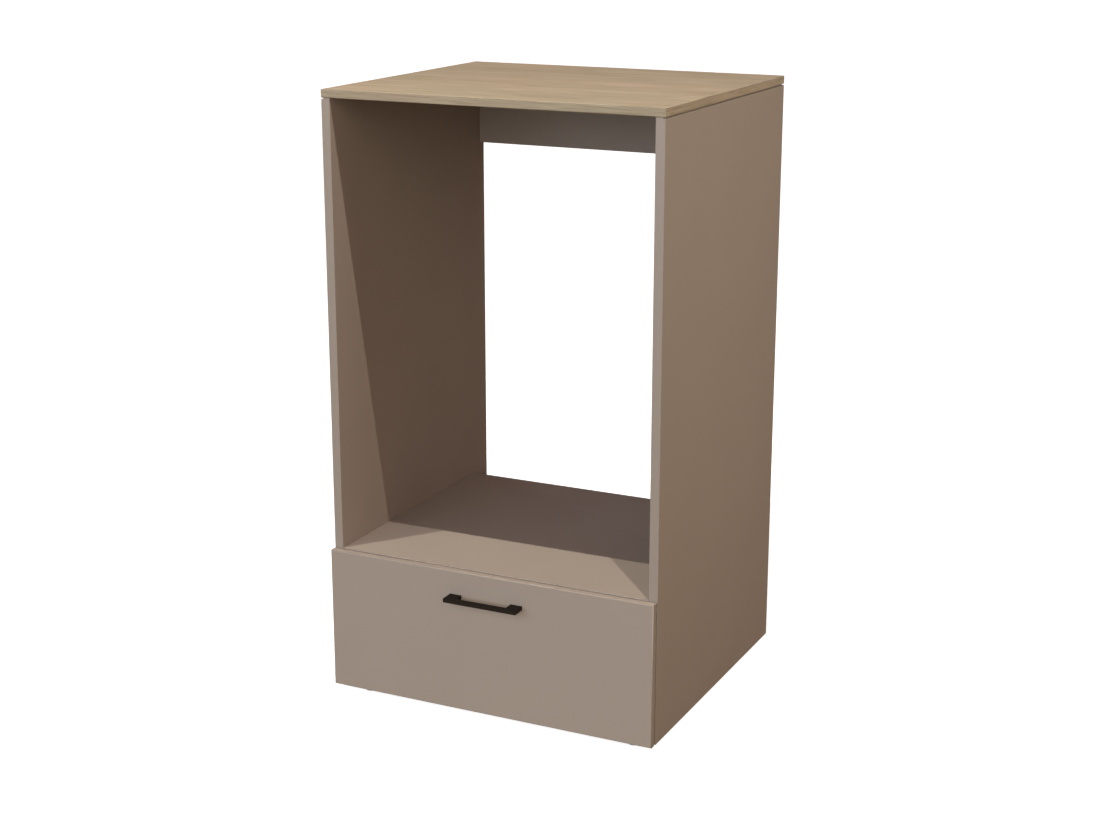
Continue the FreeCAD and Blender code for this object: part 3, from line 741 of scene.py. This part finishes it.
class CABINET_OT_rollers(CabinetOperator):
    """Model the rollers: moulded nylon wheels with a rim, a sunk web and a hub on each side"""

    bl_idname = "cabinet.rollers"
    bl_label = "Rollers"

    def execute(self, context):
        detail = context.scene.cabinet_detail
        nylon = shared("natural nylon", moulded_plastic, context.scene.cabinet_finish.nylon, roughness=0.38)
        for side in LEFT_AND_RIGHT:
            for node in (f"{side}_cabinet_roller", f"{side}_drawer_roller"):
                stand_in(self.turned_wheel(node, detail), f"{node}_wheel", [nylon], node)
        return {"FINISHED"}

    def turned_wheel(self, node, detail):
        """A wheel turned about X where the node is, the same on both sides of its web."""
        low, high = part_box(node)
        widths = (detail.roller_bore, detail.roller_hub, detail.roller_rim)
        bore, hub, rim = (width / 2 for width in widths)
        web, cheek, tread = detail.roller_web / 2, (high.x - low.x) / 2, (high.z - low.z) / 2
        half = [(bore, cheek), (hub, cheek), (hub, web), (rim, web), (rim, cheek), (tread, cheek)]
        mirrored = [(radius, -along) for radius, along in reversed(half)]
        bm = bmesh.new()
        spin_outline(bm, half + mirrored + half[:1], detail.turn_steps)
        round_edges(bm, sharp_edges(bm), detail.moulded_easing, detail.moulded_steps)
        on_axle = Matrix.Translation((low + high) / 2) @ Matrix.Rotation(math.pi / 2, 4, "Y")
        bmesh.ops.transform(bm, matrix=on_axle, verts=bm.verts)
        return bm


class CABINET_OT_fittings(CabinetOperator):
    """Finish the small fittings: axles, cams, dowels, bumpers and the screws of the runners and the handle"""

    bl_idname = "cabinet.fittings"
    bl_label = "Fittings"

    def execute(self, context):
        finish = context.scene.cabinet_finish
        detail = context.scene.cabinet_detail
        plated = shared("zinc-plated steel", bare_metal, finish.plated, roughness=0.34)
        for node in ("cabinet_roller_axles", "drawer_roller_axles", "shelf_cam_bolts"):
            dress_node(node, plated)
        dress_node("shelf_cam_discs", shared("die-cast zinc", bare_metal, finish.cast, roughness=0.45))
        dress_node("wooden_dowels", shared("beech dowel rod", beech, finish.beech_deep, finish.beech_pale))
        self.make_bumpers(finish, detail)
        for use, body, places, diameter, height in (
            ("cabinet", "cabinet", self.cabinet_runner_places, detail.runner_screw, detail.cabinet_head),
            ("drawer", "drawer", self.drawer_runner_places, detail.runner_screw, detail.drawer_head),
            ("handle", "drawer", self.handle_places, detail.handle_screw, detail.handle_head),
        ):
            head = self.screw_head(diameter, height, detail.screw_steps)
            copy_to(head, places(detail))
            make_piece(head, f"{use}_screws", [plated], body)
        return {"FINISHED"}

    def make_bumpers(self, finish, detail):
        """Soft square pads on the drawer front's back, with round corners and a softened rim."""
        low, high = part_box("drawer_bumpers")
        width = high.z - low.z
        bm = bmesh.new()
        bmesh.ops.create_cube(bm, size=1, matrix=Matrix.Diagonal((width, high.y - low.y, width, 1)))
        corners = [e for e in bm.edges if abs(e.verts[0].co.y - e.verts[1].co.y) > HAIR]
        round_edges(bm, corners, detail.bumper_corner, detail.corner_steps)
        rim = [e for e in bm.edges if min(v.co.y for v in e.verts) > 0]
        round_edges(bm, rim, detail.bumper_easing, detail.moulded_steps)
        middle = (low + high) / 2
        copy_to(bm, [
            Matrix.Translation((x, middle.y, middle.z)) for x in (low.x + width / 2, high.x - width / 2)
        ])
        rubber = shared("clear polyurethane", moulded_plastic, finish.bumper, roughness=0.3)
        stand_in(bm, "soft_pads", [rubber], "drawer_bumpers")

    def cabinet_runner_places(self, detail):
        """Three screws through the web of each cabinet runner, in line with the usual rows of holes."""
        low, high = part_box("right_cabinet_runner")
        web = high.x - detail.runner_steel
        board_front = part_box("right_side_panel")[0].y
        return [
            Matrix.Translation((side * web, board_front + along, (low.z + high.z) / 2))
            @ Matrix.Rotation(-side * math.pi / 2, 4, "Y")
            for side in SIDES
            for along in detail.runner_rows
        ]

    def drawer_runner_places(self, detail):
        """Three screws up through the ledge of each drawer runner into the drawer's side."""
        low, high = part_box("right_drawer_runner")
        across, margin = low.x + detail.screw_inset, detail.screw_margin
        return [
            Matrix.Translation((side * across, y, low.z)) @ Matrix.Rotation(math.pi, 4, "X")
            for side in SIDES
            for y in (low.y + margin, (low.y + high.y) / 2, high.y - margin)
        ]

    def handle_places(self, detail):
        """One screw through the drawer front into each post of the handle."""
        low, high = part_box("handle")
        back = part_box("drawer_front")[1].y
        return [
            Matrix.Translation((side * detail.handle_spacing / 2, back, (low.z + high.z) / 2))
            @ Matrix.Rotation(-math.pi / 2, 4, "X")
            for side in SIDES
        ]

    def screw_head(self, diameter, height, steps):
        """A pan head with a cross recess, on the XY plane."""
        crown_share, arm_share, arm_width_share, recess_share = 0.8, 0.55, 0.14, 0.7
        radius = diameter / 2
        arm, width, depth = radius * arm_share, radius * arm_width_share, height * recess_share
        bm = bmesh.new()
        raised = Matrix.Translation((0, 0, height))
        bmesh.ops.create_circle(bm, segments=steps, radius=radius * crown_share, matrix=raised)
        crown_edges = bm.edges[:]
        skirt_verts = verts_in(bmesh.ops.extrude_edge_only(bm, edges=crown_edges)["geom"])
        bmesh.ops.scale(bm, vec=(1 / crown_share, 1 / crown_share, 0), verts=skirt_verts)
        quarter = [(arm, -width), (arm, width), (width, width)]
        cross = [
            bm.verts.new(Matrix.Rotation(turn * math.pi / 2, 3, "Z") @ Vector((x, y, height)))
            for turn in range(4)
            for x, y in quarter
        ]
        cross_edges = [bm.edges.new(pair) for pair in zip(cross, cross[1:] + cross[:1])]
        bmesh.ops.bridge_loops(bm, edges=crown_edges + cross_edges)
        floor_verts = verts_in(bmesh.ops.extrude_edge_only(bm, edges=cross_edges)["geom"])
        bmesh.ops.translate(bm, vec=(0, 0, -depth), verts=floor_verts)
        for loop in (floor_verts, skirt_verts):
            rim = [e for e in bm.edges if all(v in loop for v in e.verts)]
            bmesh.ops.edgeloop_fill(bm, edges=rim)
        bmesh.ops.recalc_face_normals(bm, faces=bm.faces)
        return bm


class CABINET_OT_stage(CabinetOperator):
    """Set the studio: pale floor, two key lights from the upper front, fills from the front and the back, a
    soft box on the right and the camera"""

    bl_idname = "cabinet.stage"
    bl_label = "Studio"

    def execute(self, context):
        scene = context.scene
        stage = scene.cabinet_stage
        scene.view_settings.view_transform = "Standard"
        self.make_floor(scene, stage)
        self.make_air(scene, stage)
        for place, colour in (
            (stage.left_key_place, stage.left_key), (stage.right_key_place, stage.right_key)
        ):
            self.add_key(scene, stage, place, colour)
        fill_spread, level_spread, back_spread = 45, 1, 20
        for azimuth, elevation, share, colour in (
            (0, 12, 1.0, stage.cool_fill), (-30, 20, 0.548, stage.cool_fill), (30, 20, 0.532, stage.warm_fill)
        ):
            strength = share * stage.fill_strength
            self.add_sun(scene, "front fill", azimuth, elevation, strength, fill_spread, colour)
        for azimuth, elevation, share, spread, colour in (
            (-120, 6, 1.0, back_spread, stage.warm_back),
            (180, 1, 1.2, level_spread, stage.cool_back),
            (-90, 1, 0.4, level_spread, stage.cool_back),
        ):
            strength = share * stage.back_strength
            self.add_sun(scene, "back fill", azimuth, elevation, strength, spread, colour)
        self.add_side_box(scene, stage)
        self.add_camera(scene, stage)
        return {"FINISHED"}

    def make_floor(self, scene, stage):
        """A plain pale floor. Only the camera sees it as bright as paper, and the cabinet gets a softer
        bounce."""
        bm = bmesh.new()
        bmesh.ops.create_grid(bm, x_segments=1, y_segments=1, size=stage.floor_reach)
        mesh = bpy.data.meshes.new("floor")
        bm.to_mesh(mesh)
        bm.free()
        floor = bpy.data.objects.new("floor", mesh)
        scene.collection.objects.link(floor)
        material = bpy.data.materials.new("pale studio floor")
        tree = empty_tree(material)
        seen = add_node(tree, "ShaderNodeLightPath", output="Is Camera Ray")
        bounce = add_node(tree, "ShaderNodeBsdfDiffuse", {"Color": stage.floor_bounce})
        paper = add_node(tree, "ShaderNodeBsdfDiffuse", {"Color": stage.floor_paper})
        glow = add_node(tree, "ShaderNodeEmission", {"Color": WHITE, "Strength": stage.floor_glow})
        bright = add_node(tree, "ShaderNodeAddShader", {0: paper, 1: glow})
        mixed = add_node(tree, "ShaderNodeMixShader", {0: seen, 1: bounce, 2: bright})
        add_node(tree, "ShaderNodeOutputMaterial", {"Surface": mixed})
        mesh.materials.append(material)

    def make_air(self, scene, stage):
        """Faint light from all round, behind which the camera sees plain white."""
        world = bpy.data.worlds.new("studio air")
        tree = empty_tree(world)
        seen = add_node(tree, "ShaderNodeLightPath", output="Is Camera Ray")
        faint = shaded(stage.air_colour, stage.air_strength)
        colour = add_node(tree, "ShaderNodeMix", {"Factor": seen, "A": faint, "B": WHITE}, data_type="RGBA")
        air = add_node(tree, "ShaderNodeBackground", {"Color": colour, "Strength": 1.0})
        add_node(tree, "ShaderNodeOutputWorld", {"Surface": air})
        scene.world = world

    def add_light(self, scene, name, kind, energy, colour):
        """Adds a light and returns its object."""
        light = bpy.data.lights.new(name, kind)
        light.energy = energy
        light.color = colour[:3]
        lamp = bpy.data.objects.new(name, light)
        scene.collection.objects.link(lamp)
        return lamp

    def add_key(self, scene, stage, place, colour):
        """A lamp above the front, near enough to rake down the bay's walls. It fades as a long tube does,
        less steeply than a bulb, so that the worktop isn't far brighter than the shelf."""
        key = self.add_light(scene, "key", "POINT", stage.key_power, colour)
        key.location = place
        key.data.shadow_soft_size = stage.key_radius
        tree = empty_tree(key.data)
        faded = add_node(tree, "ShaderNodeLightFalloff", {"Strength": 1.0}, output="Linear")
        glow = add_node(tree, "ShaderNodeEmission", {"Color": WHITE, "Strength": faded})
        add_node(tree, "ShaderNodeOutputLight", {"Surface": glow})
        self.spare_handle(key)

    def spare_handle(self, key):
        """Keeps a key light off the handle: no hard shadow down the drawer front, and tops as dark as the
        bar."""
        spared = bpy.data.collections.new("spared by the key light")
        spared.objects.link(bpy.data.objects["bar_handle"])
        spared.collection_objects[0].light_linking.link_state = "EXCLUDE"
        key.light_linking.blocker_collection = spared
        key.light_linking.receiver_collection = spared

    def add_sun(self, scene, name, azimuth, elevation, strength, spread, colour):
        """A far light, with angles in degrees. Azimuth 0 shines on the front, and 90 on the right side."""
        sun = self.add_light(scene, name, "SUN", strength, colour)
        sun.data.angle = math.radians(spread)
        sun.rotation_euler = (math.radians(90 - elevation), 0, math.radians(azimuth))

    def add_side_box(self, scene, stage):
        """A soft box to the right, near enough that the side panel fades a little along its length."""
        box = self.add_light(scene, "side box", "AREA", stage.side_power, stage.side_colour)
        box.data.size = stage.side_width
        box.location = stage.side_place
        box.rotation_euler = (Vector(stage.side_aim) - box.location).to_track_quat("-Z", "Y").to_euler()
        box.visible_camera = False

    def add_camera(self, scene, stage):
        """The camera at the photograph's viewing angle."""
        camera = bpy.data.objects.new("camera", bpy.data.cameras.new("camera"))
        camera.data.lens = stage.lens
        camera.data.sensor_width = 36
        camera.data.clip_end = 200
        camera.location = stage.camera_place
        camera.rotation_euler = (math.pi / 2 - stage.camera_pitch, 0, stage.camera_turn)
        scene.collection.objects.link(camera)
        scene.camera = camera


class CABINET_PT_panel(bpy.types.Panel):
    """The cabinet's operators and settings in the 3D view's sidebar"""

    bl_idname = "CABINET_PT_panel"
    bl_label = "Washing Machine Cabinet"
    bl_space_type = "VIEW_3D"
    bl_region_type = "UI"
    bl_category = "Cabinet"

    def draw(self, context):
        for operator in OPERATORS:
            self.layout.operator(operator.bl_idname)
        for group in (getattr(context.scene, name) for name in GROUPS):
            box = self.layout.box()
            for name in group.__annotations__:
                box.prop(group, name)


GROUPS = {"cabinet_finish": CabinetFinish, "cabinet_detail": CabinetDetail, "cabinet_stage": CabinetStage}
OPERATORS = (
    CABINET_OT_carcass, CABINET_OT_worktop, CABINET_OT_drawer_box, CABINET_OT_handle, CABINET_OT_feet,
    CABINET_OT_runners, CABINET_OT_rollers, CABINET_OT_fittings, CABINET_OT_stage,
)
CLASSES = (*GROUPS.values(), *OPERATORS, CABINET_PT_panel)


def register():
    """Makes the settings, the operators and the panel known to Blender."""
    for made in CLASSES:
        bpy.utils.register_class(made)
    for name, group in GROUPS.items():
        setattr(bpy.types.Scene, name, PointerProperty(type=group))


def unregister():
    """Takes back what register added."""
    for name in GROUPS:
        delattr(bpy.types.Scene, name)
    for made in reversed(CLASSES):
        bpy.utils.unregister_class(made)


def main():
    """Dresses the frame and sets the studio."""
    register()
    bpy.ops.cabinet.carcass()
    bpy.ops.cabinet.worktop()
    bpy.ops.cabinet.drawer_box()
    bpy.ops.cabinet.handle()
    bpy.ops.cabinet.feet()
    bpy.ops.cabinet.runners()
    bpy.ops.cabinet.rollers()
    bpy.ops.cabinet.fittings()
    bpy.ops.cabinet.stage()


if __name__ == "__main__":
    main()
